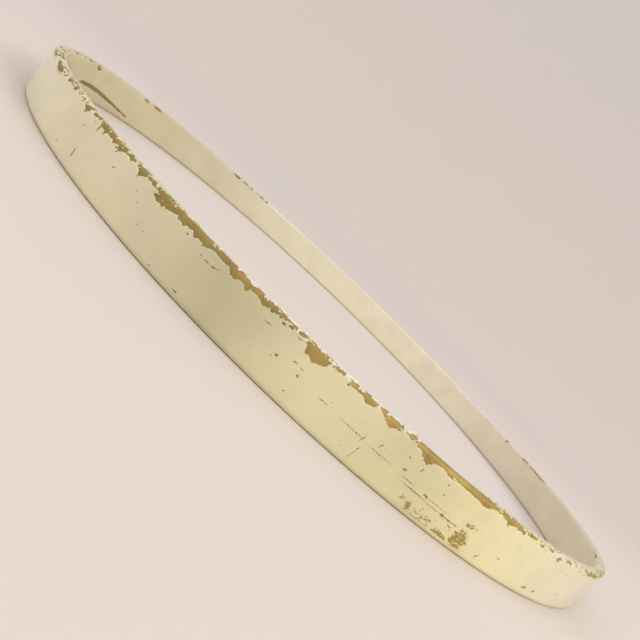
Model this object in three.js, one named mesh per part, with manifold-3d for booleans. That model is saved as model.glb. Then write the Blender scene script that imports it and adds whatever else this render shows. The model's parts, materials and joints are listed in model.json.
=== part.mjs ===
// An enamelled brass bangle: a closed, rigid hoop that lies flat on one edge.
//
// A flat brass strip is bent round into a hoop, its two ends are brazed
// together, and the hoop is coated with cream enamel on all four of its
// faces. Millimetres, +Z up. The hoop's axis is the Z axis, and its lower
// edge rests on z = 0.

import * as THREE from 'three';
import { mergeVertices } from 'three/addons/utils/BufferGeometryUtils.js';
import Module from 'manifold-3d';

// ---- Driving dimensions, in mm ---------------------------------------------

const BORE = 63.5; // inside diameter of the finished hoop, over the enamel
const STRIP_THICKNESS = 0.7; // brass strip, measured along the radius
const STRIP_WIDTH = 3.44; // brass strip, measured along the hoop's axis
const EDGE_RADIUS = 0.2; // rounding on the strip's four long corners
const COAT = 0.1; // enamel thickness on every face
const BOND_LINE = 0.02; // space between the enamel and the brass, and between coats
const SEAM_WIDTH = 0.4; // gap between the strip's ends that the braze fills
const SEAM_ANGLE = 70; // where the seam is, in degrees from +X towards +Y

// ---- Fineness of the round shapes ------------------------------------------

const HOOP_STEPS = 120; // flats around the hoop
const CORNER_STEPS = 1; // an edge rounding is drawn with twice this many flats

// ---- Sizes that follow from the ones above ---------------------------------

const SKIN = COAT + BOND_LINE; // how far the finished surface is from the brass
const BRASS_INNER = BORE / 2 + SKIN;
const BRASS_OUTER = BRASS_INNER + STRIP_THICKNESS;
const BRASS_LOW = SKIN;
const BRASS_HIGH = BRASS_LOW + STRIP_WIDTH;
const HEIGHT = BRASS_HIGH + SKIN;
const ROUNDING = Math.min(EDGE_RADIUS, STRIP_THICKNESS / 2, STRIP_WIDTH / 2);

// Where the flat walls end and the rounded rims begin.
const WALL_LOW = BRASS_LOW + ROUNDING;
const WALL_HIGH = BRASS_HIGH - ROUNDING;

// ---- Materials --------------------------------------------------------------

const brass = new THREE.MeshStandardMaterial({ color: 0xb8914f, roughness: 0.3, metalness: 1 });
const braze = new THREE.MeshStandardMaterial({ color: 0xc9a868, roughness: 0.42, metalness: 1 });
const enamel = new THREE.MeshStandardMaterial({ color: 0xdfcda6, roughness: 0.22, metalness: 0 });

// ---- Solids -----------------------------------------------------------------

const wasm = await Module();
wasm.setup();

// Turns a section, drawn as x = radius and y = height, once around the Z axis.
function hoopOf(section) {
  const outline = section.getPoints(CORNER_STEPS);
  const start = outline[0];
  if (!outline[outline.length - 1].equals(start)) outline.push(start.clone());
  return new THREE.LatheGeometry(outline, HOOP_STEPS).rotateX(Math.PI / 2);
}

function toSolid(geometry) {
  const bare = geometry.clone();
  bare.deleteAttribute('normal');
  bare.deleteAttribute('uv');
  const welded = mergeVertices(bare, 1e-5);
  return new wasm.Manifold(new wasm.Mesh({
    numProp: 3,
    vertProperties: welded.attributes.position.array,
    triVerts: new Uint32Array(welded.index.array),
  }));
}

function toGeometry(solid) {
  const { vertProperties, triVerts } = solid.getMesh();
  const geometry = new THREE.BufferGeometry();
  geometry.setAttribute('position', new THREE.BufferAttribute(vertProperties, 3));
  geometry.setIndex(new THREE.BufferAttribute(triVerts, 1));
  return geometry;
}

// ---- Sections ---------------------------------------------------------------

// The strip: a tall rectangle with its four corners rounded.
function stripSection() {
  const section = new THREE.Shape();
  const inner = BRASS_INNER + ROUNDING;
  const outer = BRASS_OUTER - ROUNDING;
  section.absarc(outer, WALL_LOW, ROUNDING, -Math.PI / 2, 0, false);
  section.absarc(outer, WALL_HIGH, ROUNDING, 0, Math.PI / 2, false);
  section.absarc(inner, WALL_HIGH, ROUNDING, Math.PI / 2, Math.PI, false);
  section.absarc(inner, WALL_LOW, ROUNDING, Math.PI, Math.PI * 1.5, false);
  return section;
}

// A straight coat on one wall, between the two rims.
function wallSection(innerFace) {
  const low = WALL_LOW + BOND_LINE;
  const high = WALL_HIGH - BOND_LINE;
  const section = new THREE.Shape();
  section.moveTo(innerFace, low);
  section.lineTo(innerFace + COAT, low);
  section.lineTo(innerFace + COAT, high);
  section.lineTo(innerFace, high);
  return section;
}

// The coat over the strip's upper edge: a cap that follows both rounded corners.
function rimSection() {
  const inner = BRASS_INNER + ROUNDING;
  const outer = BRASS_OUTER - ROUNDING;
  const near = ROUNDING + BOND_LINE;
  const far = near + COAT;
  const section = new THREE.Shape();
  section.absarc(outer, WALL_HIGH, far, 0, Math.PI / 2, false);
  section.absarc(inner, WALL_HIGH, far, Math.PI / 2, Math.PI, false);
  section.absarc(inner, WALL_HIGH, near, Math.PI, Math.PI / 2, true);
  section.absarc(outer, WALL_HIGH, near, Math.PI / 2, 0, true);
  return section;
}

// ---- Pieces -----------------------------------------------------------------

// The whole hoop of brass, before the seam is taken out of it.
const wholeHoop = toSolid(hoopOf(stripSection()));

// A block that reaches across the strip at the seam, with a width along the hoop.
function seamBlock(width) {
  const block = new THREE.BoxGeometry(STRIP_THICKNESS * 3, width, STRIP_WIDTH * 2);
  block.translate((BRASS_INNER + BRASS_OUTER) / 2, 0, HEIGHT / 2);
  block.rotateZ(THREE.MathUtils.degToRad(SEAM_ANGLE));
  return toSolid(block);
}

function brassBand() {
  const strip = wholeHoop.subtract(seamBlock(SEAM_WIDTH));
  return new THREE.Mesh(toGeometry(strip), brass);
}

function brazedSeam() {
  const filler = wholeHoop.intersect(seamBlock(SEAM_WIDTH - 2 * BOND_LINE));
  return new THREE.Mesh(toGeometry(filler), braze);
}

function outerEnamel() {
  return new THREE.Mesh(hoopOf(wallSection(BRASS_OUTER + BOND_LINE)), enamel);
}

function innerEnamel() {
  return new THREE.Mesh(hoopOf(wallSection(BORE / 2)), enamel);
}

function upperRimEnamel() {
  return new THREE.Mesh(hoopOf(rimSection()), enamel);
}

// The lower rim is the upper one turned over.
function lowerRimEnamel() {
  const rim = new THREE.Mesh(hoopOf(rimSection()), enamel);
  rim.rotation.x = Math.PI;
  rim.position.z = HEIGHT;
  return rim;
}

// ---- The bangle -------------------------------------------------------------

const bangle = new THREE.Group();

const pieces = {
  brass_band: brassBand(),
  brazed_seam: brazedSeam(),
  outer_enamel: outerEnamel(),
  inner_enamel: innerEnamel(),
  upper_rim_enamel: upperRimEnamel(),
  lower_rim_enamel: lowerRimEnamel(),
};

for (const [name, piece] of Object.entries(pieces)) {
  piece.name = name;
  bangle.add(piece);
}

export default bangle;
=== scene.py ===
# %% [markdown]
# # An enamelled brass bangle
#
# The real thing is a thin brass strip, bent round into a hoop, brazed shut and dipped in
# glossy cream enamel. It has been worn for years in a stack of others, so the enamel has
# chipped away along its upper outer corner, and the brass shows through.
#
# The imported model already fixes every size. This lesson builds the same hoop again as
# smooth surfaces, and spends its effort on what a camera sees up close: a film of enamel
# with real thickness and real holes in it, and the metal underneath.

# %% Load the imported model
import json
import math

import bpy
import numpy as np
from mathutils import Matrix, Vector

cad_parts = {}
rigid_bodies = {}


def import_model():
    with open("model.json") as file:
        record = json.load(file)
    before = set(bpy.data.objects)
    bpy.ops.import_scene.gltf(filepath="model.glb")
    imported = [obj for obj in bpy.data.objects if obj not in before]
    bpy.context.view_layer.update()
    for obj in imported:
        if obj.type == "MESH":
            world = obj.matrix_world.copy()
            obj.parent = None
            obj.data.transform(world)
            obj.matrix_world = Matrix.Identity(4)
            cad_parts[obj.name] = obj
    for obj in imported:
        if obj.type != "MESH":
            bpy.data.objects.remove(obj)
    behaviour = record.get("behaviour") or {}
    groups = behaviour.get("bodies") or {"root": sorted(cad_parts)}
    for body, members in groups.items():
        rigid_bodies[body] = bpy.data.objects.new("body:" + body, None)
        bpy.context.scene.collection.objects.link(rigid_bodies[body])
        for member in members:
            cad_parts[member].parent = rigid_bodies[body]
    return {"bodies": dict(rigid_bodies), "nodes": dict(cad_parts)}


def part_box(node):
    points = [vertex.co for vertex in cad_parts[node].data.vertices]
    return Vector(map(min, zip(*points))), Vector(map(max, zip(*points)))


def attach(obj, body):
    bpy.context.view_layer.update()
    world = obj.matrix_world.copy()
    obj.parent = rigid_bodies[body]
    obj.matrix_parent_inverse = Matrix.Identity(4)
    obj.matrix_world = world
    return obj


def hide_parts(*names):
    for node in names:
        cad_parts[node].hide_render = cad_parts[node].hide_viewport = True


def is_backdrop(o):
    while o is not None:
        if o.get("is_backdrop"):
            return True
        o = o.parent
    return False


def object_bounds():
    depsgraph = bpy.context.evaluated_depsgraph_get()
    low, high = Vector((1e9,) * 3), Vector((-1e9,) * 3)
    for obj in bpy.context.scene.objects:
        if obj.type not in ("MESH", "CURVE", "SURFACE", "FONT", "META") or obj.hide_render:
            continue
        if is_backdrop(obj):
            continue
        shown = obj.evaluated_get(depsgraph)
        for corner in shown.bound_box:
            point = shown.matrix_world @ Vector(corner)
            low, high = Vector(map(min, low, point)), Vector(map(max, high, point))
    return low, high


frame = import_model()
cad_box = [list(corner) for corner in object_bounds()]
print("nodes:", sorted(frame["nodes"]))

# %% [markdown]
# ## Sizes, read from the model
#
# The boxes of the solids give every size that is needed. The section of the strip is a
# small upright rectangle with rounded corners, and each film of enamel lies on it with a
# hairline of space between. Lengths below are in millimetres, because the film is only a
# tenth of one thick; they turn into metres when a mesh is made.

# %% Sizes of the strip and its coat
MM = 0.001


def reach(node):
    """The lowest and highest corner of a solid, in mm."""
    low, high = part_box(node)
    return np.array(low) / MM, np.array(high) / MM


outer_low, outer_high = reach("outer_enamel")
rim_low, rim_high = reach("upper_rim_enamel")
band_high = reach("brass_band")[1]
inner_high = reach("inner_enamel")[1]
foot_high = reach("lower_rim_enamel")[1]

HOOP_RADIUS = float(outer_high[0])
SKIN = float(outer_high[0] - band_high[0])  # from the brass to the finished surface
BOND = float(outer_low[2] - foot_high[2])  # the hairline between neighbouring films
STRIP_INNER = float(inner_high[0]) + BOND
STRIP_OUTER = float(band_high[0])
WALL_LOW = float(foot_high[2])  # where the rounded lower rim ends and the flat wall begins
WALL_HIGH = float(rim_low[2])
ROUNDING = float(band_high[2]) - WALL_HIGH  # radius of the strip's corners
HEIGHT = float(rim_high[2])
MM_PER_DEGREE = math.radians(1) * HOOP_RADIUS
print(f"hoop {2 * HOOP_RADIUS:.2f} across and {HEIGHT:.2f} high")
print(f"coat {SKIN:.2f}, strip corner {ROUNDING:.2f}")

# %% [markdown]
# ## One path round the section
#
# Everything here is the same section carried round a circle. A point on the surface needs
# only two numbers: the angle round the hoop, and the height, which is how far it is along
# the section. On the outer wall that height is the true one above the table. It goes on
# over the rounded top corner, across the rim, down the inner wall and back underneath.

# %% The section as one path
CORNER = (ROUNDING + SKIN) * math.pi / 2  # length of one finished corner
RIM = STRIP_OUTER - STRIP_INNER - 2 * ROUNDING  # length of the flat on each rim
WALL = WALL_HIGH - WALL_LOW
stops = np.cumsum([WALL_LOW, WALL, CORNER, RIM, CORNER, WALL, CORNER, RIM, CORNER])
RIM_OUTER, RIM_INNER, INNER_TOP = (float(stop) for stop in stops[2:5])
INNER_LOW, FOOT_INNER, FOOT_OUTER = (float(stop) for stop in stops[5:8])
GIRTH = float(stops[-1] - stops[0])
LEANS = [0, 0, 90, 90, 180, 180, 270, 270, 360]  # which way the surface faces at each stop
core_out = STRIP_OUTER - ROUNDING
core_in = STRIP_INNER + ROUNDING


def surface(angle, height, lift):
    """A point of the hoop for each angle in degrees and height in mm.

    A core rectangle runs inside the strip, smaller by the corner radius. The point is the
    one on that rectangle, pushed out by the corner radius plus lift, along a direction that
    stands square to the walls and turns evenly through a quarter turn round each corner.
    """
    lean = np.radians(np.interp(height, stops, LEANS))
    across = np.interp(height, stops, [core_out] * 3 + [core_in] * 4 + [core_out] * 2)
    up = np.interp(height, stops, [WALL_LOW] + [WALL_HIGH] * 4 + [WALL_LOW] * 4)
    radius = across + (ROUNDING + lift) * np.cos(lean)
    turn = np.radians(angle)
    rise = up + (ROUNDING + lift) * np.sin(lean)
    x, y, z = np.broadcast_arrays(radius * np.cos(turn), radius * np.sin(turn), rise)
    return np.stack([x, y, z], -1) * MM


print(f"once round the section is {GIRTH:.2f} mm")

# %% [markdown]
# ## From arrays to named pieces
#
# Every piece ends the same way: its points and faces go into a mesh, corners sharper than
# fifty degrees stay crisp, the piece is hung on the body it rides on, and the solid that it
# stands for is hidden. Its finish is given later.

# %% Turn arrays into a mesh
CRISP = 50  # degrees between faces, above which an edge stays sharp
root = "root" if "root" in frame["bodies"] else sorted(frame["bodies"])[0]
print("every piece rides on", root)


def make_piece(name, points, faces, stands_for, unrolled=None):
    """A named mesh of points and faces, that takes the place of one solid of the model."""
    mesh = bpy.data.meshes.new(name)
    mesh.from_pydata(points.tolist(), [], faces.tolist())
    if unrolled is not None:
        mesh.uv_layers.new(name="unrolled").data.foreach_set("uv", unrolled.ravel())
    mesh.validate()
    mesh.shade_smooth()
    mesh.set_sharp_from_angle(angle=math.radians(CRISP))
    piece = bpy.data.objects.new(name, mesh)
    bpy.context.scene.collection.objects.link(piece)
    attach(piece, root)
    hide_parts(stands_for)
    print(f"{name}: {len(points)} points, {len(faces)} faces")
    return piece


# %% [markdown]
# ## The brass strip and its brazed seam
#
# On the bench the strip is cut, rolled round a former until its ends meet, and the gap is
# flooded with brazing filler. So the strip is a bar that goes nearly all the way round,
# closed off at both ends, and the filler is a very short bar of the same section that
# stands a hair proud, because a seam is never filed perfectly flush.

# %% Bars bent round the hoop
seam_low, seam_high = reach("brazed_seam")
seam_middle = math.degrees(math.atan2(seam_low[1] + seam_high[1], seam_low[0] + seam_high[0]))
SEAM_GAP = 0.4 / MM_PER_DEGREE  # the gap between the strip's ends, as an angle
FILL = 0.96  # share of the gap that the filler takes
PROUD = 0.004  # how far the filler stands above the strip, in mm
SECTION_STEPS = [8, 6, 4, 6, 8, 6, 4, 6]  # points along each flat and corner of a bar


def bent_bar(name, start, end, steps, lift, stands_for):
    """The section carried from one angle to another: rings of points joined by quads, with
    one many-sided face across each end."""
    height = np.concatenate([np.linspace(a, b, n, endpoint=False)
                             for a, b, n in zip(stops[:-1], stops[1:], SECTION_STEPS)])
    angle = np.linspace(start, end, steps)
    points = surface(angle[:, None], height[None, :], lift).reshape(-1, 3)
    n = len(height)
    ring, place = np.meshgrid(np.arange(steps - 1), np.arange(n), indexing="ij")
    after = (place + 1) % n
    here, there = ring * n + place, ring * n + after
    quads = np.stack([here, here + n, there + n, there], -1).reshape(-1, 4).tolist()
    quads.append(list(range(n)))
    quads.append(list(range(steps * n - 1, (steps - 1) * n - 1, -1)))
    return make_piece(name, points, np.array(quads, dtype=object), stands_for)


strip_start = seam_middle + SEAM_GAP / 2
strip_end = seam_middle + 360 - SEAM_GAP / 2
filler_start = seam_middle - SEAM_GAP * FILL / 2
filler_end = seam_middle + SEAM_GAP * FILL / 2
brass_strip = bent_bar("brass_strip", strip_start, strip_end, 900, 0.0, "brass_band")
seam_filler = bent_bar("seam_filler", filler_start, filler_end, 6, PROUD, "brazed_seam")

# %% [markdown]
# ## Where the enamel has gone
#
# Enamel fails first at a corner, where the film is stretched and everything knocks against
# it. A chip is written as a few points along the hoop, each with its angle and the lowest
# and highest place where metal shows. A little random raggedness then breaks up the
# straight lines between them, as brittle paint does.

# %% Chips, as angle in degrees, bottom and top in mm
CHIPS = [
    # a loose cluster where the hoop turns away on the left
    [(195.0, 3.52, 3.66), (197.0, 3.46, 3.72), (199.0, 3.48, 3.72), (201.0, 3.54, 3.64)],
    [(205.5, 3.58, 3.72), (208.0, 3.50, 3.86), (211.0, 3.50, 3.92), (213.0, 3.52, 3.84)],
    [(213.6, 3.46, 3.60), (215.4, 3.38, 3.66), (217.0, 3.44, 3.60), (218.8, 3.50, 3.60)],
    [(212.4, 3.84, 4.10), (214.6, 3.80, 4.36), (217.0, 3.84, 4.30), (219.2, 3.92, 4.10)],
    [(221.4, 3.52, 3.70), (222.6, 3.34, 3.90), (223.5, 3.22, 3.95), (224.2, 3.10, 3.95),
     (224.8, 3.28, 4.00), (225.3, 3.12, 3.90), (226.0, 3.44, 3.84), (226.8, 3.60, 3.80)],
    [(227.2, 3.40, 3.56), (227.9, 3.60, 3.90), (228.8, 3.66, 4.00)],
    [(228.6, 3.46, 3.64), (229.2, 3.26, 3.62), (229.6, 3.48, 3.74)],
    [(230.9, 3.56, 3.90), (231.5, 3.42, 3.85), (232.1, 3.52, 3.70)],
    [(235.5, 3.40, 3.50), (235.9, 3.30, 3.55), (236.4, 3.16, 3.56), (236.9, 3.40, 3.54)],
    # star-shaped chips that lead into the long worn strip
    [(239.8, 3.46, 3.76), (240.1, 3.02, 3.70), (240.3, 3.36, 3.78), (240.8, 3.33, 3.70),
     (241.05, 3.08, 3.70), (241.3, 3.38, 3.66), (242.1, 3.46, 3.62)],
    [(242.2, 3.42, 3.60), (243.0, 3.26, 3.90), (243.4, 3.32, 3.72), (243.7, 3.45, 3.62)],
    [(243.8, 3.45, 3.62), (244.1, 3.12, 3.90), (244.5, 3.18, 4.00), (244.9, 3.36, 3.72),
     (245.2, 3.50, 3.60)],
    [(245.9, 3.48, 3.60), (246.3, 3.41, 3.66), (246.9, 3.48, 3.60)],
    [(247.8, 3.44, 3.62), (248.1, 3.16, 3.62), (248.2, 2.98, 3.62), (248.35, 3.20, 3.66),
     (248.7, 3.36, 3.85), (249.2, 3.46, 3.60), (251.2, 3.49, 3.58)],
    # the long worn strip
    [(251.0, 3.46, 3.60), (251.6, 3.30, 3.62), (252.1, 3.14, 3.63), (252.4, 3.28, 3.66),
     (253.0, 3.24, 3.68), (253.9, 3.20, 3.66), (254.4, 3.27, 3.64), (255.0, 3.27, 3.64),
     (255.4, 3.12, 3.68), (255.8, 3.25, 4.10), (256.6, 3.28, 4.30), (257.3, 3.22, 4.35),
     (258.1, 3.22, 4.35), (258.8, 3.30, 4.30), (259.3, 3.38, 4.00), (259.7, 3.42, 4.10),
     (260.3, 3.38, 4.30), (260.9, 3.33, 4.35), (261.5, 3.35, 4.20), (262.1, 3.22, 3.95),
     (262.6, 3.16, 4.05), (263.1, 3.30, 3.80), (263.5, 3.26, 3.64), (263.9, 3.12, 3.64),
     (264.3, 3.35, 3.66), (265.0, 3.36, 3.68), (265.6, 3.32, 3.70), (266.2, 3.30, 3.76),
     (266.7, 3.34, 3.70), (267.0, 3.22, 3.64), (267.3, 3.38, 3.60), (267.6, 3.50, 3.58)],
    [(251.1, 3.10, 3.17), (251.5, 2.94, 3.16), (251.9, 3.04, 3.14), (252.4, 3.08, 3.12)],
    # one large flake on its own, with the rim's enamel still above it
    [(271.35, 3.44, 3.50), (271.5, 3.18, 3.52), (271.7, 2.97, 3.53), (272.0, 3.03, 3.53),
     (272.3, 3.00, 3.53), (272.65, 2.91, 3.53), (273.0, 3.03, 3.53), (273.4, 3.12, 3.52),
     (273.75, 3.20, 3.50), (273.9, 3.42, 3.50)],
    [(271.6, 3.72, 4.10), (272.0, 3.70, 4.25), (272.3, 3.74, 4.10)],
    [(273.1, 3.74, 4.10), (273.5, 3.70, 4.20), (273.8, 3.76, 4.05)],
    [(276.4, 3.45, 3.52), (276.9, 3.38, 3.52), (277.4, 3.36, 3.50), (277.9, 3.43, 3.50)],
    [(278.1, 3.38, 3.52), (278.5, 3.21, 3.53), (279.0, 3.24, 3.53), (279.6, 3.43, 3.52)],
    [(280.2, 3.55, 3.66), (280.6, 3.38, 3.66), (281.2, 3.28, 3.70), (281.8, 3.21, 3.76),
     (282.2, 3.32, 3.70), (282.7, 3.50, 3.62)],
    # the smooth bare stretch on the right, where the whole rim is worn through
    [(284.5, 3.55, 3.70), (285.2, 3.36, 3.95), (285.8, 3.26, 4.15), (286.5, 3.19, 4.35),
     (287.2, 3.20, 4.42), (287.8, 3.32, 4.44), (288.4, 3.40, 4.46), (289.1, 3.36, 4.48),
     (289.6, 3.23, 4.48), (290.1, 3.39, 4.48), (290.6, 3.32, 4.46), (291.3, 3.34, 4.46),
     (292.2, 3.31, 4.44), (293.2, 3.30, 4.38), (294.2, 3.27, 4.28), (294.9, 3.24, 4.10),
     (295.4, 3.30, 3.90), (295.9, 3.46, 3.70), (297.5, 3.54, 3.62)],
    [(286.6, 3.09, 3.16), (286.9, 2.97, 3.14), (287.1, 3.03, 3.10)],
    [(297.6, 3.50, 3.62), (298.4, 3.34, 3.64), (298.9, 3.23, 3.68), (299.4, 3.36, 4.20),
     (300.0, 3.40, 3.90), (300.6, 3.42, 3.53), (301.4, 3.44, 3.50)],
    [(302.0, 3.52, 3.60), (302.8, 3.55, 3.84), (303.6, 3.53, 3.76), (304.1, 3.58, 3.64)],
    [(304.9, 3.40, 3.45), (305.2, 3.33, 3.42), (305.4, 3.36, 3.40)],
    [(307.2, 3.47, 3.62), (307.8, 3.50, 3.62)],
    [(309.0, 3.24, 3.33), (309.3, 3.17, 3.38), (309.6, 3.21, 3.32)],
    [(311.0, 3.50, 3.62), (311.5, 3.46, 3.58)],
    [(312.1, 3.50, 3.66), (312.6, 3.47, 3.60)],
    [(318.3, 3.50, 3.68), (319.5, 3.35, 3.80), (320.5, 3.32, 3.74), (321.5, 3.40, 3.62),
     (322.5, 3.27, 3.62), (323.6, 3.31, 3.50), (324.0, 3.36, 3.44)],
    [(324.6, 3.46, 3.62), (327.0, 3.46, 3.72), (330.0, 3.50, 3.72), (333.0, 3.50, 3.70),
     (335.5, 3.56, 3.66)],
    # nicks on the far rim's inner corner
    [(340.5, 4.42, 4.50), (342.5, 4.38, 4.54), (345.4, 4.43, 4.52)],
    [(16.8, 4.30, 4.52), (19.0, 4.20, 4.58), (22.0, 4.28, 4.52), (26.4, 4.34, 4.54)],
    [(32.1, 4.20, 4.66), (32.9, 4.26, 4.70)],
    [(122.3, 4.40, 4.62), (123.0, 4.36, 4.66)],
    [(124.0, 4.42, 4.60), (127.0, 4.40, 4.64), (130.8, 4.44, 4.58)],
    [(131.9, 4.36, 4.66), (133.4, 4.34, 4.72), (134.4, 4.42, 4.60)],
    [(160.6, 4.36, 4.62), (162.0, 4.30, 4.66), (163.4, 4.40, 4.60)],
    [(165.5, 4.36, 4.66), (166.3, 4.24, 4.70), (167.2, 4.40, 4.60)],
    [(184.8, 4.16, 4.74), (185.6, 4.00, 4.84), (186.6, 4.24, 4.66)],
    [(189.0, 4.14, 4.36), (192.0, 4.08, 4.44), (196.0, 4.10, 4.40), (200.5, 4.16, 4.34)],
    # a long crescent low on the inner wall
    [(168.0, 7.42, 7.45), (171.0, 7.22, 7.30), (174.0, 6.99, 7.13), (177.0, 6.80, 7.00),
     (180.0, 6.61, 6.85), (183.0, 6.51, 6.76), (186.0, 6.50, 6.71), (189.0, 6.55, 6.68)],
]
print(len(CHIPS), "chips set by hand")

# %% [markdown]
# Between the chips there are over two hundred nicks too small to name, crowded where the
# hoop is handled most. A seeded random generator scatters them, so they fall in the same
# places every time: most on the upper corners and the rim, a few on the lower corners.

# %% Nicks, scattered but always the same
HALF_LENGTHS = (0.03, 0.15)  # of a nick, in mm
HALF_WIDTHS = (0.015, 0.05)
scatter = np.random.default_rng(11)


def nicks(count, angles, heights):
    """Rows of angle, height, half length and half width, all drawn evenly between limits."""
    limits = (angles, heights, HALF_LENGTHS, HALF_WIDTHS)
    return np.column_stack([scatter.uniform(*pair, count) for pair in limits])


# the lower rim, from part way round its inner corner to part way round its outer one
FOOT_CORNERS = (INNER_LOW + CORNER * 0.3, GIRTH + WALL_LOW - CORNER * 0.3)
NICKS = np.concatenate([
    nicks(40, (211, 330), (3.20, 3.60)), nicks(60, (210, 330), (RIM_OUTER, INNER_TOP)),
    nicks(50, (0, 360), (3.30, 3.70)), nicks(60, (0, 360), (RIM_INNER, INNER_TOP)),
    nicks(30, (0, 360), FOOT_CORNERS),
])
print(len(NICKS), "nicks")

# %% [markdown]
# Raggedness comes from lumps: random numbers on a lattice, blended smoothly in between.
# Lumps of several sizes are added up, and the lattice joins on to itself round the hoop.

# %% Random lumps
AROUND = 360 * MM_PER_DEGREE


def lumps(angle, height, size, seed):
    """Smooth random values from -1 to 1. Each lattice cell is about size mm. The value inside
    a cell is blended from its four corners by the curve 3 t^2 - 2 t^3 in each direction."""
    cells = int(round(AROUND / size))
    levels = int(math.ceil(GIRTH / size)) + 2
    lattice = np.random.default_rng(seed).uniform(-1, 1, (levels, cells))
    u, v = angle / 360 * cells, height / size
    i, j = np.floor(u).astype(int), np.floor(v).astype(int)
    s, t = u - i, v - j
    s, t = s * s * (3 - 2 * s), t * t * (3 - 2 * t)
    here, beside = i % cells, (i + 1) % cells
    row, row_above = j % levels, (j + 1) % levels
    low = lattice[row, here] * (1 - s) + lattice[row, beside] * s
    top = lattice[row_above, here] * (1 - s) + lattice[row_above, beside] * s
    return low * (1 - t) + top * t


def with_lumps(base, angle, height, sizes):
    """The base, with lumps of several sizes added. Each is a strength and a size, both in mm,
    and a seed."""
    for strength, size, seed in sizes:
        base = base + strength * lumps(angle, height, size, seed)
    return base


sample = lumps(np.arange(0, 360, 0.5), RIM_OUTER, 0.2, 2)
print(f"lumps along one line run from {sample.min():.2f} to {sample.max():.2f}")

# %% [markdown]
# ## How far it is to bare metal
#
# One function answers for every point of the hoop how far it is from the nearest chip. The
# sign says whether there is enamel, the zero line is where the film is cut, and the value
# just inside the enamel says where its worn lip begins.

# %% How far each point is from bare metal
SPREAD = 0.05  # how far each chip has grown beyond its outline, in mm
FAR_AWAY = 5.0  # the distance to start from, in mm, larger than any that matters
EDGE_LINE = 3.60  # height of the most exposed line of the upper outer corner, in mm
SMOOTH_MIDDLE = 291.5  # the middle of the stretch worn smooth, in degrees
SMOOTH_HALF = 3.0  # it reaches this far each way
SMOOTH_FADE = 1.5  # and turns ragged over this much more

# lumps, as strength in mm, size in mm and seed
CHIP_EDGES = [(0.06, 0.45, 1), (0.065, 0.2, 2), (0.045, 0.1, 3)]
ISLANDS = [(0.12, 0.3, 8), (0.07, 0.13, 9)]
EDGE_FLAKES = [(0.10, 0.26, 6), (0.08, 0.13, 7)]
TOP_FLAKES = [(0.11, 0.3, 10), (0.08, 0.13, 12)]

# how badly the upper outer corner flakes, as angle in degrees and wear from 0 to 1
EDGE_WEAR = [(0, 0.3), (40, 0.5), (70, 0.2), (100, 0.5), (125, 0.3), (150, 0.5), (185, 0.3),
             (208, 0.5), (212, 0.9), (222, 0.8), (236, 0.75), (252, 0.9), (262, 0.8),
             (268, 1.0), (276, 0.95), (284, 0.9), (297, 0.8), (305, 0.65), (312, 0.6),
             (326, 0.6), (340, 0.4), (360, 0.3)]

# the same for the flat of the upper rim
TOP_WEAR = [(0, 0.1), (120, 0.2), (190, 0.3), (206, 0.7), (216, 0.9), (300, 0.9), (312, 0.6),
            (330, 0.5), (345, 0.2), (360, 0.1)]
TOP_MIDDLE = (RIM_OUTER + RIM_INNER) / 2


def paint_left(angle, height):
    """Distance in mm from a point to the nearest bare metal, below zero inside a chip.

    For a chip it is the largest of three distances: below its bottom line, above its top
    line and past its ends. Lumps and thin ridges make its edge ragged, and where the lumps
    are high an island of enamel is left standing in it. Along the corner and the rim the
    lumps alone make small flakes, more of them where the wear is worse. For a nick it is the
    distance outside a small ellipse. The least of them all counts.
    """
    shape = np.broadcast(angle, height).shape
    nearest = np.full(shape, FAR_AWAY)
    for outline in CHIPS:
        place, bottom, top = np.array(outline).T
        past_end = np.maximum(place[0] - angle, angle - place[-1]) * MM_PER_DEGREE
        below = np.interp(angle, place, bottom) - height
        above = height - np.interp(angle, place, top)
        nearest = np.minimum(nearest, np.maximum(np.maximum(below, above), past_end))
    past_smooth = (np.abs(angle - SMOOTH_MIDDLE) - SMOOTH_HALF) / SMOOTH_FADE
    roughly = np.where(height > INNER_TOP, 0.3, np.clip(past_smooth, 0.35, 1))
    ridge = 1 - np.abs(lumps(angle, height, 0.36, 5))
    ragged = with_lumps(0.0, angle, height, CHIP_EDGES) - 0.10 * ridge**5
    nearest = nearest - SPREAD + roughly * (ragged + 0.02)
    island = with_lumps(0.0, angle, height, ISLANDS) - 0.035
    island = island - 0.6 * np.maximum(EDGE_LINE - height, 0)
    nearest = np.maximum(nearest, np.where(roughly < 1, -1, island))
    off_corner = np.maximum(np.abs(height - EDGE_LINE) - 0.10, 0)
    flaking = 0.11 - 0.10 * np.interp(angle, *np.array(EDGE_WEAR).T) + 0.55 * off_corner
    nearest = np.minimum(nearest, with_lumps(flaking, angle, height, EDGE_FLAKES))
    off_top = np.maximum(np.abs(height - TOP_MIDDLE) - 0.26, 0)
    flaking = 0.10 - 0.13 * np.interp(angle, *np.array(TOP_WEAR).T) + 0.4 * off_top
    nearest = np.minimum(nearest, with_lumps(flaking, angle, height, TOP_FLAKES))
    for place, level, long, wide in NICKS:
        turn = ((angle - place + 180) % 360 - 180) * MM_PER_DEGREE
        away = np.hypot(turn / long, (height - level) / wide) - 1
        nearest = np.minimum(nearest, away * wide + 0.3 * wide * lumps(angle, height, 0.1, 4))
    return nearest


bare = (paint_left(np.arange(0, 360, 0.5), np.full(720, EDGE_LINE)) < 0).mean()
print(f"metal shows along {100 * bare:.0f}% of the upper outer corner")

# %% [markdown]
# ## Choosing where the mesh is fine
#
# The edge of a chip needs a point every twentieth of a millimetre, and the whole hoop is
# two hundred millimetres round. So the columns of the grid are close together only where
# the edge of some chip crosses them, and wide apart on smooth enamel, where one column in
# nine is left.

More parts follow.
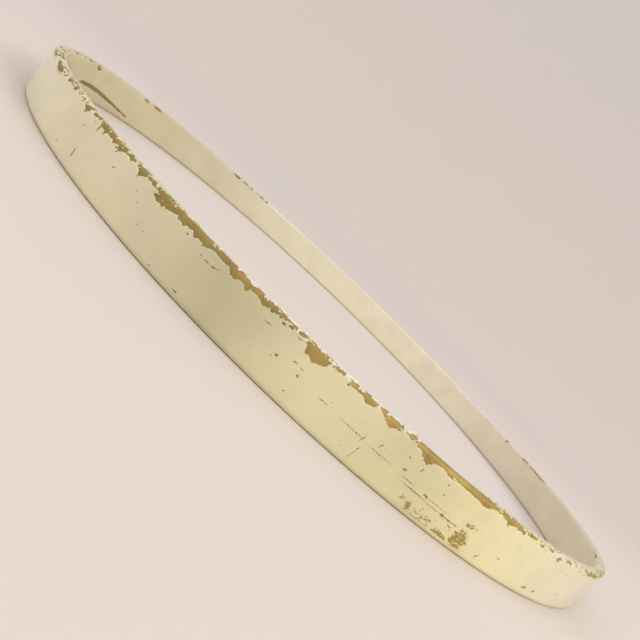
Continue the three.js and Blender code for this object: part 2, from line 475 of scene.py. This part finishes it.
# %% Columns of the grid
STEP = 0.08  # degrees between the closest columns
MOST_WORN = (208, 334)  # outside this stretch only every third column can be kept
EDGE_NEAR = 0.05  # a column this close to the edge of a chip is kept, in mm


def worn_grid(levels):
    """The angles of the columns for one film, and the distance to bare metal at each of its
    points. A close column is kept if the edge of a chip passes near it at any level."""
    close = np.arange(0, 360, STEP)
    left = paint_left(close[None, :], levels[:, None])
    number = np.arange(len(close))
    allowed = (number % 3 == 0) | ((close > MOST_WORN[0]) & (close < MOST_WORN[1]))
    chosen = (number % 9 == 0) | (allowed & (np.abs(left).min(0) < EDGE_NEAR))
    left = np.append(left[:, chosen], left[:, :1], 1)
    print(f"{chosen.sum()} of {len(close)} columns kept, {len(levels)} levels")
    return np.append(close[chosen], 360.0), left


print(f"the closest columns are {STEP * MM_PER_DEGREE:.3f} mm apart")

# %% [markdown]
# ## Cutting a sheet at its chips
#
# The enamel starts as a plain grid, and each cell as two triangles. A triangle that is all
# enamel stays, one that is all chip goes, and one that straddles the edge is cut across.
# The cut falls where the distance, taken as a straight line along each side, reaches zero.
# All triangles are sorted and cut at once, as whole arrays.

# %% Cut a grid along the edge of the paint
SLIVER = 0.04  # a cut stays this share of a side away from its ends


def cut_sheet(angle, height, left):
    """Angle, height and remaining distance of each point, and triangles, of the sheet that is
    left where the distance is above zero."""
    rows, cols = left.shape
    index = np.arange(rows * cols).reshape(rows, cols)
    a, b, c, d = index[:-1, :-1], index[:-1, 1:], index[1:, 1:], index[1:, :-1]
    cells = np.concatenate([np.stack(three, -1).reshape(-1, 3) for three in ([a, b, c], [a, c, d])])
    value = left.ravel()
    painted = value[cells] > 0
    count = painted.sum(1)
    kept, sides = [cells[count == 3]], []
    for number in (1, 2):
        some, flag = cells[count == number], painted[count == number]
        odd = (flag if number == 1 else ~flag).argmax(1)
        p, q, r = np.take_along_axis(some, (odd[:, None] + np.arange(3)) % 3, 1).T
        sides.append((number, p, q, r))
    total = rows * cols
    pairs = np.concatenate([np.sort(np.stack([p, other], -1), 1)
                            for _, p, q, r in sides for other in (q, r)])
    unique, where = np.unique(pairs[:, 0] * total + pairs[:, 1], return_inverse=True)
    first, second = unique // total, unique % total
    share = np.clip(value[first] / (value[first] - value[second]), SLIVER, 1 - SLIVER)
    where = where.ravel() + total
    start = 0
    for number, p, q, r in sides:
        pq = where[start:start + len(p)]
        pr = where[start + len(p):start + 2 * len(p)]
        start += 2 * len(p)
        if number == 1:
            kept.append(np.stack([p, pq, pr], -1))
        else:
            kept.append(np.stack([pq, q, r], -1))
            kept.append(np.stack([pq, r, pr], -1))
    angles, heights = (np.broadcast_to(g, left.shape).ravel() for g in (angle, height))
    angles = np.append(angles, angles[first] * (1 - share) + angles[second] * share)
    heights = np.append(heights, heights[first] * (1 - share) + heights[second] * share)
    return angles, heights, np.append(value, np.zeros(len(first))), np.concatenate(kept)


ends = np.array([0.0, 1.0])
one_cell = cut_sheet(ends[None, :], ends[:, None], np.array([[1.0, 1.0], [1.0, -1.0]]))
print("a cell with one corner chipped off becomes", len(one_cell[3]), "triangles")

# %% [markdown]
# ## From a sheet to a film
#
# The cut sheet is joined to itself round the hoop, laid on the brass as a back face, lifted
# by the coat's thickness as a front face, and the two are joined by a thin wall along every
# edge. Towards a chip the front face dips, because broken enamel has a worn, rounded lip.

# %% Give the sheet its thickness
CONTACT = 0.004  # the film's back face sits this far off the brass, in mm
LIP = 0.07  # how far back from a chip the enamel is rounded off, in mm
LIP_SHARE = 0.4  # what is left of the coat's thickness right at the chip
GRAINS = 1e5  # points that agree to one part in this, of a degree and of a mm, are one


def film(name, levels, stands_for):
    """A closed film over a range of heights. Its thickness rises from two fifths at a chip's
    edge to the whole coat, along a quarter of a circle. Each corner of each face remembers
    its place on the unrolled hoop, in mm, as the map that the finish reads."""
    columns, left = worn_grid(levels)
    angle, height, left, sheet = cut_sheet(columns[None, :], levels[:, None], left)
    places = np.round(np.column_stack([(angle % 360) * GRAINS, height * GRAINS])).astype(np.int64)
    _, keep, merged = np.unique(places, axis=0, return_index=True, return_inverse=True)
    used, faces = np.unique(merged.ravel()[sheet], return_inverse=True)
    faces = faces.reshape(-1, 3)
    whole = (faces != np.roll(faces, 1, axis=1)).all(1)
    faces, sheet, keep = faces[whole], sheet[whole], keep[used]
    worn = 1 - np.clip(left[keep] / LIP, 0, 1)
    thickness = (SKIN - CONTACT) * (LIP_SHARE + (1 - LIP_SHARE) * np.sqrt(1 - worn**2))
    front = surface(angle[keep], height[keep], CONTACT + thickness)
    back = surface(angle[keep], height[keep], np.full(len(keep), CONTACT))
    n = len(keep)
    side, side_place = (f[:, [0, 1, 1, 2, 2, 0]].reshape(-1, 2) for f in (faces, sheet))
    lonely = ~np.isin(side[:, 0] * n + side[:, 1], side[:, 1] * n + side[:, 0])
    p, q = side[lonely].T
    walls = np.concatenate([np.stack([q, p, p + n], -1), np.stack([q, p + n, q + n], -1)])
    p, q = side_place[lonely].T
    edges = [np.stack([q, p, p], -1), np.stack([q, p, q], -1)]
    corners = np.concatenate([sheet, sheet[:, ::-1], *edges]).ravel()
    everything = np.concatenate([faces, faces[:, ::-1] + n, walls])
    unrolled = np.column_stack([angle[corners] * MM_PER_DEGREE, height[corners]])
    points = np.concatenate([front, back])
    return make_piece(name, points, everything, stands_for, unrolled)


def spaced(*stretches):
    """Heights from a list of (start, end, number of steps), each stretch evenly divided."""
    parts = [np.linspace(a, b, n, endpoint=False) for a, b, n in stretches]
    return np.append(np.concatenate(parts), stretches[-1][1])


print(f"films {SKIN - CONTACT:.3f} mm thick, {LIP_SHARE * (SKIN - CONTACT):.3f} at a chip")

# %% [markdown]
# ## The coat, in four films
#
# The coat is one skin on the real bangle. Here it is cut along the hairlines of the model
# into an outer wall, an upper rim, an inner wall and a lower rim. Rows of the grid lie close
# together only at the heights where that face has chips.

# %% The four films
CHIPS_LOW = 2.85  # the chips of the outer wall stay above this height, in mm
CHIPS_IN = 4.86  # and those of the inner wall before this one
CRESCENT = (6.4, 7.5)  # except the crescent, which lies between these

outer_levels = spaced((WALL_LOW, CHIPS_LOW, 5), (CHIPS_LOW, WALL_HIGH, 11))
rim_levels = spaced((WALL_HIGH, RIM_OUTER, 10), (RIM_OUTER, RIM_INNER, 3),
                    (RIM_INNER, INNER_TOP, 5))
inner_levels = spaced((INNER_TOP, CHIPS_IN, 3), (CHIPS_IN, CRESCENT[0], 3), (*CRESCENT, 11),
                      (CRESCENT[1], INNER_LOW, 1))
foot_levels = spaced((INNER_LOW, FOOT_INNER, 5), (FOOT_INNER, FOOT_OUTER, 2),
                     (FOOT_OUTER, stops[8], 5))

outer_coat = film("outer_coat", outer_levels, "outer_enamel")
rim_coat = film("upper_rim_coat", rim_levels, "upper_rim_enamel")
inner_coat = film("inner_coat", inner_levels, "inner_enamel")
foot_coat = film("lower_rim_coat", foot_levels, "lower_rim_enamel")

# %% [markdown]
# ## Finishes
#
# Every finish here is a small network of shader nodes. One helper adds a node, sets it up
# and wires its inputs in a single call, so that a network reads from top to bottom. The
# others mix two colours, start a finish and give it to a piece.

# %% Helpers for shader nodes
def node(tree, kind, inputs=None, **settings):
    """Adds a node, sets its options, and fills its inputs with values or links."""
    made = tree.nodes.new("ShaderNode" + kind)
    for name, value in settings.items():
        setattr(made, name, value)
    for key, value in (inputs or {}).items():
        if isinstance(value, bpy.types.NodeSocket):
            tree.links.new(value, made.inputs[key])
        else:
            made.inputs[key].default_value = value
    return made


def mixed(tree, share, first, second):
    """A colour that is the first where share is 0 and the second where it is 1."""
    return node(tree, "Mix", {"Factor": share, 6: first, 7: second}, data_type="RGBA").outputs[2]


def new_finish(name):
    """An empty material: its node tree and its Principled shader."""
    material = bpy.data.materials.new(name)
    material.use_nodes = True
    print("finish:", name)
    return material, material.node_tree, material.node_tree.nodes["Principled BSDF"]


def wear(piece, material):
    """Gives a piece its finish."""
    piece.data.materials.append(material)
    print(f"{piece.name} has {material.name}, {len(material.node_tree.nodes)} nodes")


metal, films = [brass_strip, seam_filler], [outer_coat, rim_coat, inner_coat, foot_coat]
print(len(metal), "pieces of metal and", len(films), "films to finish")

# %% [markdown]
# ## The brass that shows
#
# Bare brass in a worn patch is neither bright nor flat. It has tarnished to a brownish gold,
# in clouds about a millimetre across, and rubbing has left it satin rather than shiny. Two
# colours blended by a noise give the clouds, and a much finer noise tips the surface a
# little, so that it doesn't mirror like new metal. Tarnish is no metal, so the shader is
# only half metallic. Painted light: the colour is lighter towards the right, where the key
# light falls, and darker to the left. The filler in the seam is a paler alloy.

# %% Brass
# painted light and shade: the brass is painted darkest left of the first line and lightest right of
# the second, following the key light on the right
PAINTED_SHADE_SIDE = -0.34 * HOOP_RADIUS * MM  # left of here the brass is at its darkest
PAINTED_LIGHT_SIDE = 0.18 * HOOP_RADIUS * MM  # and right of here at its lightest
CLOUDS = 900.0  # noise scales, per metre: the clouds of tarnish
GRAIN = 6000.0  # and the grain of the metal
GRAIN_DEPTH = 0.00002  # in metres
BRASS = ((0.47, 0.345, 0.105, 1), (0.34, 0.24, 0.072, 1))  # bright and dull
FILLER = ((0.70, 0.55, 0.30, 1), (0.55, 0.40, 0.18, 1))


def brass_finish(name, colours, roughness):
    """Tarnished metal, from its bright and dull colours and its roughness."""
    material, tree, shader = new_finish(name)
    place = node(tree, "TexCoord").outputs["Object"]
    cloud = node(tree, "TexNoise", {"Vector": place, "Scale": CLOUDS, "Detail": 6.0,
                                    "Roughness": 0.6}).outputs["Fac"]
    blend = node(tree, "MapRange", {"Value": cloud, "From Min": 0.35, "From Max": 0.68}).outputs[0]
    colour = mixed(tree, blend, *colours)
    # painted light from the key on the right: the colour is scaled up towards the right and down
    # towards the left
    right = node(tree, "SeparateXYZ", {"Vector": place}).outputs["X"]
    painted_key_light = node(tree, "MapRange", {"Value": right, "From Min": PAINTED_SHADE_SIDE, "From Max": PAINTED_LIGHT_SIDE,
                                     "To Min": 0.88, "To Max": 1.15}).outputs[0]
    colour = node(tree, "VectorMath", {0: colour, 1: painted_key_light}, operation="MULTIPLY").outputs[0]
    tree.links.new(colour, shader.inputs["Base Color"])
    shader.inputs["Metallic"].default_value = 0.5
    rough = node(tree, "MapRange", {"Value": cloud, "To Min": roughness - 0.1,
                                    "To Max": roughness + 0.12}).outputs[0]
    tree.links.new(rough, shader.inputs["Roughness"])
    grain = node(tree, "TexNoise", {"Vector": place, "Scale": GRAIN, "Detail": 3.0}).outputs["Fac"]
    dent = node(tree, "Bump", {"Height": grain, "Strength": 0.25, "Distance": GRAIN_DEPTH})
    tree.links.new(dent.outputs[0], shader.inputs["Normal"])
    return material


wear(brass_strip, brass_finish("old_brass", BRASS, 0.6))
wear(seam_filler, brass_finish("brazing_filler", FILLER, 0.42))

# %% [markdown]
# ## Marks that stay in the enamel
#
# Not all wear goes down to the metal. The outer wall has fine scratches and brown stains
# that stay in the glaze, too shallow to be worth any geometry. Each one is an oval, given by
# its angle, height, length, width and lean. Where many lie together, a larger oval only says
# where a gritty noise is let through: solid in a scuff, sparse in a speckled area.

# %% Marks, as angle in degrees, height, length and width in mm, and lean in degrees
MARKS = [
    (239.5, 1.10, 0.58, 0.11, 100), (245.4, 2.40, 0.26, 0.08, 45), (249.5, 2.55, 0.09, 0.08, 0),
    (250.4, 2.15, 0.08, 0.07, 0), (252.0, 1.35, 0.10, 0.08, 0), (253.0, 1.33, 0.08, 0.08, 0),
    (255.7, 0.35, 0.22, 0.06, 20), (259.3, 0.42, 0.36, 0.08, 0), (256.5, 2.98, 0.16, 0.10, 10),
    (258.9, 2.72, 0.30, 0.04, -8), (259.7, 2.69, 0.44, 0.06, -4), (260.5, 2.74, 0.34, 0.09, 20),
    (261.0, 2.82, 0.20, 0.05, 30), (267.5, 2.75, 0.42, 0.06, 8), (271.6, 2.26, 0.26, 0.06, 0),
    (272.5, 2.24, 0.24, 0.05, 0), (270.0, 1.87, 0.18, 0.14, 30), (272.6, 1.83, 0.14, 0.11, 0),
    (272.6, 0.80, 0.11, 0.09, 0), (275.8, 1.80, 0.56, 0.05, 2), (279.4, 1.75, 1.60, 0.040, -1),
    (283.0, 1.70, 1.60, 0.035, 0), (282.4, 2.08, 0.34, 0.06, 65), (280.7, 1.70, 0.50, 0.05, 75),
    (281.0, 0.95, 0.96, 0.035, 82), (285.2, 2.65, 0.12, 0.10, 0), (285.7, 1.98, 0.22, 0.14, 10),
    (286.6, 1.65, 0.96, 0.04, 0), (287.0, 2.55, 0.26, 0.06, 85), (290.1, 2.87, 0.12, 0.07, 0),
    (288.0, 1.40, 1.66, 0.06, 0), (290.7, 1.35, 1.30, 0.035, 0), (293.1, 1.35, 1.30, 0.07, 0),
    (292.0, 1.36, 0.26, 0.15, 0), (290.7, 1.60, 1.90, 0.030, 0), (289.3, 1.61, 0.16, 0.12, 0),
    (292.9, 0.62, 0.50, 0.05, -6), (298.8, 0.70, 0.30, 0.10, 50), (301.4, 1.30, 0.34, 0.07, 8),
    (308.5, 0.65, 0.46, 0.16, 15), (310.7, 0.70, 0.28, 0.18, 30), (313.7, 2.68, 0.22, 0.08, 30),
    (316.0, 1.15, 0.24, 0.10, 40), (321.0, 0.75, 0.26, 0.12, 20), (218.0, 1.60, 0.14, 0.08, 60),
    (221.5, 0.90, 0.20, 0.08, 75), (216.5, 0.60, 0.30, 0.07, 80), (236.0, 0.70, 0.16, 0.07, 60),
    (238.0, 2.62, 0.22, 0.06, 50), (290.5, 2.30, 0.12, 0.09, 0), (302.5, 2.60, 0.16, 0.07, 20),
]
SCUFFS = [
    (295.50, 0.72, 1.42, 1.76, 15), (293.3, 0.36, 1.50, 0.54, -5), (295.5, 1.87, 1.05, 0.28, 8),
    (288.6, 0.62, 0.46, 0.66, 30), (287.6, 0.74, 0.40, 0.24, 0), (289.2, 1.60, 0.66, 0.18, 0),
    (289.6, 0.32, 2.80, 0.13, 0), (291.2, 0.62, 0.50, 0.26, 0),
]
SPECKLED = [(290.2, 0.62, 5.6, 0.95, -3), (293.5, 1.10, 2.6, 0.90, 0), (296.2, 1.90, 1.6, 0.60, 0)]
print(len(MARKS), "marks,", len(SCUFFS), "scuffs,", len(SPECKLED), "speckled areas")

# %% How near a place is to an oval
def nearest_oval(tree, place, ovals):
    """How far a place is from the nearest of some ovals: 0 at a middle, 1 on a rim. Each oval
    has a mapping node that moves, turns and squeezes it until it is a circle of radius 1."""
    nearest = None
    for angle, level, long, wide, lean in ovals:
        fitted = {"Vector": place, "Location": (angle * MM_PER_DEGREE, level, 0),
                  "Rotation": (0, 0, math.radians(lean)), "Scale": (long / 2, wide / 2, 1)}
        moved = node(tree, "Mapping", fitted, vector_type="TEXTURE").outputs[0]
        away = node(tree, "VectorMath", {0: moved}, operation="LENGTH").outputs["Value"]
        if nearest is not None:
            away = node(tree, "Math", {0: nearest, 1: away}, operation="MINIMUM").outputs[0]
        nearest = away
    return nearest


drawn = len(MARKS) + len(SCUFFS) + len(SPECKLED)
print(drawn, "ovals, with", 3 * drawn - 3, "nodes between them")

# %% [markdown]
# ## How the cream varies, with light and shade painted in
#
# Two colour ramps laid round the hoop, each from a short list, hold the coat's cream with
# painted light and shade laid into it, in slow waves and differently outside and inside:
# lighter where a wall faces the key light and where it mirrors the lit table, darker where
# it turns away. Next to the crescent inside, a pale patch is a painted reflection of the
# table, and on the most worn part of the upper rim a white patch is a painted highlight.

# %% Tones of the coat, with painted light and shade, as angle in degrees and red, green and blue
OUTSIDE_TONES_AND_LIGHT = [
    (0, 0.67, 0.60, 0.39), (25, 0.72, 0.66, 0.42), (150, 0.74, 0.68, 0.43), (206, 0.76, 0.71, 0.47),
    (226, 0.81, 0.77, 0.53), (246, 0.80, 0.75, 0.52), (256, 0.69, 0.645, 0.435),
    (263, 0.58, 0.54, 0.34), (269, 0.70, 0.66, 0.42), (275, 0.82, 0.77, 0.51),
    (284, 0.73, 0.69, 0.42), (289, 0.75, 0.70, 0.43), (294, 0.86, 0.77, 0.46),
    (300, 0.89, 0.83, 0.51), (311, 0.82, 0.785, 0.53), (318, 0.80, 0.76, 0.51),
    (327, 0.71, 0.66, 0.45), (342, 0.64, 0.57, 0.37),
]
INSIDE_TONES_AND_LIGHT = [
    (0, 0.74, 0.67, 0.50), (20, 0.77, 0.69, 0.54), (45, 0.88, 0.81, 0.64), (60, 0.90, 0.83, 0.64),
    (90, 0.86, 0.82, 0.62), (113, 0.83, 0.78, 0.60), (128, 0.76, 0.70, 0.52),
    (142, 0.69, 0.64, 0.46), (160, 0.69, 0.63, 0.42), (182, 0.66, 0.60, 0.39),
    (210, 0.70, 0.65, 0.43), (345, 0.76, 0.70, 0.49),
]

# two areas of painted light given as ovals, like the marks, each with its colour: a painted
# reflection of the pale table low on the inner wall, and a painted highlight on the worn upper rim
TABLE_REFLECTION_AREA = [(181, 7.38, 15.0, 1.0, -3)]
PAINTED_TABLE_REFLECTION = (0.635, 0.56, 0.385, 1)
# painted highlight: the flakes on the most worn part of the upper rim are whitened, as if lit from
# above
LIT_RIM_AREA = [(272, 3.95, 22.0, 0.95, 0)]
PAINTED_RIM_HIGHLIGHT = (0.93, 0.87, 0.72, 1)


def tone_and_light_round_hoop(tree, unrolled, tones):
    """A colour ramp laid round the hoop, from a list of (angle, red, green, blue)."""
    along = node(tree, "SeparateXYZ", {"Vector": unrolled}).outputs["X"]
    turn = node(tree, "MapRange", {"Value": along, "From Max": AROUND}).outputs[0]
    ramp = node(tree, "ValToRGB", {"Fac": turn})
    ramp_stops = ramp.color_ramp.elements
    ramp_stops.remove(ramp_stops[1])
    for angle, *colour in [*tones, (360, *tones[0][1:])]:
        stop = ramp_stops.new(angle / 360)
        stop.color = (*colour, 1)
    ramp_stops.remove(ramp_stops[0])
    return ramp.outputs["Color"]


print(len(OUTSIDE_TONES_AND_LIGHT), "tones outside and", len(INSIDE_TONES_AND_LIGHT), "inside")

# %% [markdown]
# ## The enamel
#
# The coat is glossy: a smooth base under a thin clear layer, so that soft light slides along
# it. Each coat reads the map that was stored with its mesh, where the first number is the
# distance round the hoop and the second is the height along the section, both in mm. A map
# does this better here than a position in space, because a scratch should follow the wall
# round and not cut through it.

# %% Layers of the enamel's colour
WAVES = 330.0  # scale of the slow noise, in waves per metre
SPECK_CELLS = 0.55  # cells per mm, each with one speck or none
SPECK_BROWN = (0.30, 0.24, 0.11, 1)
SCUFF_BROWN = (0.375, 0.27, 0.037, 1)
MARK_BROWN = (0.26, 0.20, 0.05, 1)
SHIFT = (0.22, 0.15, 0.0)  # how far the fine noise moves a place, in mm


def cream_base(tree, unrolled):
    """The two ramps, blended across the rims by height, and clouded by a slow noise. The noise
    reads a position in space, so it closes on itself round the hoop."""
    height = node(tree, "SeparateXYZ", {"Vector": unrolled}).outputs["Y"]
    past_top = node(tree, "MapRange", {"Value": height, "From Min": RIM_OUTER,
                                       "From Max": RIM_INNER}).outputs[0]
    before_foot = node(tree, "MapRange", {"Value": height, "From Min": FOOT_OUTER,
                                          "From Max": FOOT_INNER}).outputs[0]
    inside = node(tree, "Math", {0: past_top, 1: before_foot}, operation="MULTIPLY").outputs[0]
    # the two ramps carry painted light and shade round the hoop over the cream
    outside_tone_and_light = tone_and_light_round_hoop(tree, unrolled, OUTSIDE_TONES_AND_LIGHT)
    inside_tone_and_light = tone_and_light_round_hoop(tree, unrolled, INSIDE_TONES_AND_LIGHT)
    colour = mixed(tree, inside, outside_tone_and_light, inside_tone_and_light)
    place = node(tree, "TexCoord").outputs["Object"]
    cloud = node(tree, "TexNoise", {"Vector": place, "Scale": WAVES, "Detail": 3.0,
                                    "Roughness": 0.55}).outputs["Fac"]
    shade = node(tree, "MapRange", {"Value": cloud, "From Min": 0.3, "From Max": 0.7,
                                    "To Min": 0.95, "To Max": 1.05}).outputs[0]
    return node(tree, "VectorMath", {0: colour, 1: shade}, operation="MULTIPLY").outputs[0]


def strewn_specks(tree, unrolled):
    """1 in small round specks: one in three cells of a Voronoi pattern holds a speck, with a
    radius of up to a twentieth of a cell."""
    cells = node(tree, "TexVoronoi", {"Vector": unrolled, "Scale": SPECK_CELLS},
                 voronoi_dimensions="2D").outputs
    size = node(tree, "MapRange", {"Value": cells["Color"], "From Min": 0.65, "To Min": 0.0,
                                   "To Max": 0.05}).outputs[0]
    depth = node(tree, "Math", {0: size, 1: cells["Distance"]}, operation="SUBTRACT").outputs[0]
    return node(tree, "MapRange", {"Value": depth, "From Max": 0.01}).outputs[0]


print(f"waves of tone {1 / (WAVES * MM):.1f} mm across, specks {1 / SPECK_CELLS:.1f} mm apart")

# %% Scuffs and scratches over the cream
def scratched(tree, unrolled, colour):
    """The colour with scuffs, speckles and marks over it. A fine noise shifts the place first,
    so that no oval keeps a clean outline."""
    wobble = node(tree, "TexNoise", {"Vector": unrolled, "Scale": 9.0, "Detail": 3.0})
    centred = node(tree, "VectorMath", {0: wobble.outputs["Color"], 1: (0.5, 0.5, 0.5)},
                   operation="SUBTRACT").outputs[0]
    place = node(tree, "VectorMath", {0: centred, 1: SHIFT, 2: unrolled},
                 operation="MULTIPLY_ADD").outputs[0]
    flat = node(tree, "VectorMath", {0: place, 1: (1, 1, 0)}, operation="MULTIPLY").outputs[0]
    away = nearest_oval(tree, flat, MARKS)
    mark = node(tree, "MapRange", {"Value": away, "From Min": 1.3, "From Max": 0.8}).outputs[0]
    streak = node(tree, "Mapping", {"Vector": unrolled, "Scale": (3.2, 6.0, 1.0)}).outputs[0]
    grit = node(tree, "TexNoise", {"Vector": streak, "Scale": 1.0, "Detail": 4.0,
                                   "Roughness": 0.7}).outputs["Fac"]
    for areas, solid, core in ((SPECKLED, 0.0, 0.51), (SCUFFS, 0.6, 0.41)):
        away = nearest_oval(tree, flat, areas)
        limit = node(tree, "MapRange", {"Value": away, "From Min": solid, "From Max": 1.25,
                                        "To Min": core, "To Max": 0.67}).outputs[0]
        over = node(tree, "Math", {0: grit, 1: limit}, operation="SUBTRACT").outputs[0]
        scuff = node(tree, "MapRange", {"Value": over, "From Max": 0.05}).outputs[0]
        colour = mixed(tree, scuff, colour, SCUFF_BROWN)
    return mixed(tree, mark, colour, MARK_BROWN)


print("scuffs are drawn first, then marks, each moved by up to", max(SHIFT) / 2, "mm")

# %% Cream enamel
GLOSS = {"Roughness": 0.2, "Coat Weight": 0.3, "Coat Roughness": 0.06}


def enamel_finish(name, marked):
    """Glossy cream enamel, with or without the marks of the outer wall."""
    material, tree, shader = new_finish(name)
    unrolled = node(tree, "UVMap", uv_map="unrolled").outputs["UV"]
    colour = cream_base(tree, unrolled)
    # painted light: a painted reflection of the table on the inner wall, then a painted highlight
    # on the worn upper rim
    for area, paint in ((TABLE_REFLECTION_AREA, PAINTED_TABLE_REFLECTION), (LIT_RIM_AREA, PAINTED_RIM_HIGHLIGHT)):
        away = nearest_oval(tree, unrolled, area)
        painted_light_share = node(tree, "MapRange", {"Value": away, "From Min": 1.0, "From Max": 0.8}).outputs[0]
        colour = mixed(tree, painted_light_share, colour, paint)
    colour = mixed(tree, strewn_specks(tree, unrolled), colour, SPECK_BROWN)
    if marked:
        colour = scratched(tree, unrolled, colour)
    tree.links.new(colour, shader.inputs["Base Color"])
    for socket, value in GLOSS.items():
        shader.inputs[socket].default_value = value
    return material


wear(outer_coat, enamel_finish("scratched_cream_enamel", marked=True))
plain_enamel = enamel_finish("cream_enamel", marked=False)
for coat in films[1:]:
    wear(coat, plain_enamel)

# %% [markdown]
# ## The table
#
# The hoop lies on pale paper. A flat sheet would end in a hard horizon behind such a low
# object, so the paper rises all round into a wide bowl and fills the view. Everything in
# this step is measured in hoop radii.

# %% Table
FLAT = 6.0  # radius of the flat middle
BEND = 4.0  # radius of the arc that turns the sheet upwards
SLOPE = math.radians(45)
LENGTH = 26.0  # of the straight slope beyond the arc
RADIUS = HOOP_RADIUS * MM  # the hoop's, in metres


def table_surface():
    """A profile turned round the axis. It is flat, bends up along an arc, and goes on straight
    at the slope that the arc ends with."""
    curve = np.linspace(0, SLOPE, 13)[1:]
    r = np.concatenate([[0.0001], np.linspace(1, FLAT, 5), FLAT + BEND * np.sin(curve)])
    z = np.concatenate([np.zeros(6), BEND * (1 - np.cos(curve))])
    r = np.append(r, r[-1] + LENGTH * math.cos(SLOPE))
    z = np.append(z, z[-1] + LENGTH * math.sin(SLOPE))
    turn = np.radians(np.arange(0, 360, 3))
    x = r[None, :] * np.cos(turn)[:, None]
    y = r[None, :] * np.sin(turn)[:, None]
    points = np.stack([x, y, np.broadcast_to(z, x.shape)], -1).reshape(-1, 3) * RADIUS
    n, m = len(turn), len(r)
    i, j = np.meshgrid(np.arange(n), np.arange(m - 1), indexing="ij")
    here, there = i * m + j, (i + 1) % n * m + j
    faces = np.stack([here, here + 1, there + 1, there], -1).reshape(-1, 4)
    mesh = bpy.data.meshes.new("table")
    mesh.from_pydata(points.tolist(), [], faces.tolist())
    mesh.shade_smooth()
    sheet = bpy.data.objects.new("table", mesh)
    bpy.context.scene.collection.objects.link(sheet)
    return sheet


table = table_surface()
paper, _, paper_shader = new_finish("pale_paper")
PAPER = {"Base Color": (0.82, 0.755, 0.715, 1), "Roughness": 0.9, "Specular IOR Level": 0.1}
for socket, value in PAPER.items():
    paper_shader.inputs[socket].default_value = value
wear(table, paper)
table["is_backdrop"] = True

# %% [markdown]
# ## The light
#
# The light is that of a bright room: pale from all round, with two large soft panels far
# away. Panels that size leave no hard edge on a glossy wall, only slow changes of tone, and
# under the hoop they leave a narrow soft shadow. The camera doesn't see them.

# %% Light
world = bpy.data.worlds.new("studio")
bpy.context.scene.world = world
world.use_nodes = True
room = world.node_tree.nodes["Background"]
room.inputs["Color"].default_value = (1.0, 0.985, 0.965, 1)
room.inputs["Strength"].default_value = 0.82


def soft_light(name, place, size, watts, colour):
    """A square panel that looks at the hoop. Its place and size are in hoop radii."""
    lamp = bpy.data.lights.new(name, "AREA")
    lamp.size = size * RADIUS
    lamp.energy = watts
    lamp.color = colour
    panel = bpy.data.objects.new(name, lamp)
    panel.location = Vector(place) * RADIUS
    panel.rotation_mode = "QUATERNION"
    panel.rotation_quaternion = panel.location.to_track_quat("Z", "Y")
    panel.visible_camera = False
    bpy.context.scene.collection.objects.link(panel)
    print(f"{name} light: {watts} W, {lamp.size / MM:.0f} mm wide")


soft_light("key", (6.0, -4.5, 5.0), 3.6, 0.22, (1.0, 0.95, 0.88))
soft_light("fill", (-6.5, -4.0, 4.0), 3.6, 0.07, (0.95, 0.97, 1.0))

# %% [markdown]
# ## The camera
#
# The camera is close to the hoop and low over the table, as a hand-held one would be, and it
# is rolled to one side until the hoop lies across the picture from corner to corner. Its
# place is given in hoop radii, so that a hoop of another size is seen in the same way.

# %% Camera
VIEW_DISTANCE = 2.006
VIEW_AZIMUTH = -0.8
VIEW_ELEVATION = 7.55
VIEW_ROLL = 44.0
VIEW_AIM = Vector((-0.0033, 0.0013, 0.0100))

camera_data = bpy.data.cameras.new("camera")
camera_data.lens = 37.04
camera_data.sensor_width = 36.0
camera_data.clip_start = 0.001
camera_data.clip_end = 10
camera = bpy.data.objects.new("camera", camera_data)
turn, tip = math.radians(VIEW_AZIMUTH), math.radians(VIEW_ELEVATION)
back = Vector((-math.sin(turn) * math.cos(tip), -math.cos(turn) * math.cos(tip), math.sin(tip)))
camera.location = (VIEW_AIM + back * VIEW_DISTANCE) * RADIUS
look = back.to_track_quat("Z", "Y").to_matrix() @ Matrix.Rotation(math.radians(VIEW_ROLL), 3, "Z")
camera.rotation_euler = look.to_euler()
bpy.context.scene.collection.objects.link(camera)
bpy.context.scene.camera = camera
bpy.context.scene.view_settings.view_transform = "Standard"
print("camera at", [round(v / RADIUS, 4) for v in camera.location], "hoop radii")

# %% [markdown]
# ## The size of the hoop
#
# The hoop that is seen must be as large as the solid one that it stands for.

# %% Print the boxes of the solid and the visual hoop
new_box = [list(corner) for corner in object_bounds()]
for label, (low, high) in (("solid", cad_box), ("visual", new_box)):
    print(label, "box in mm:", [round((b - a) / MM, 3) for a, b in zip(low, high)])
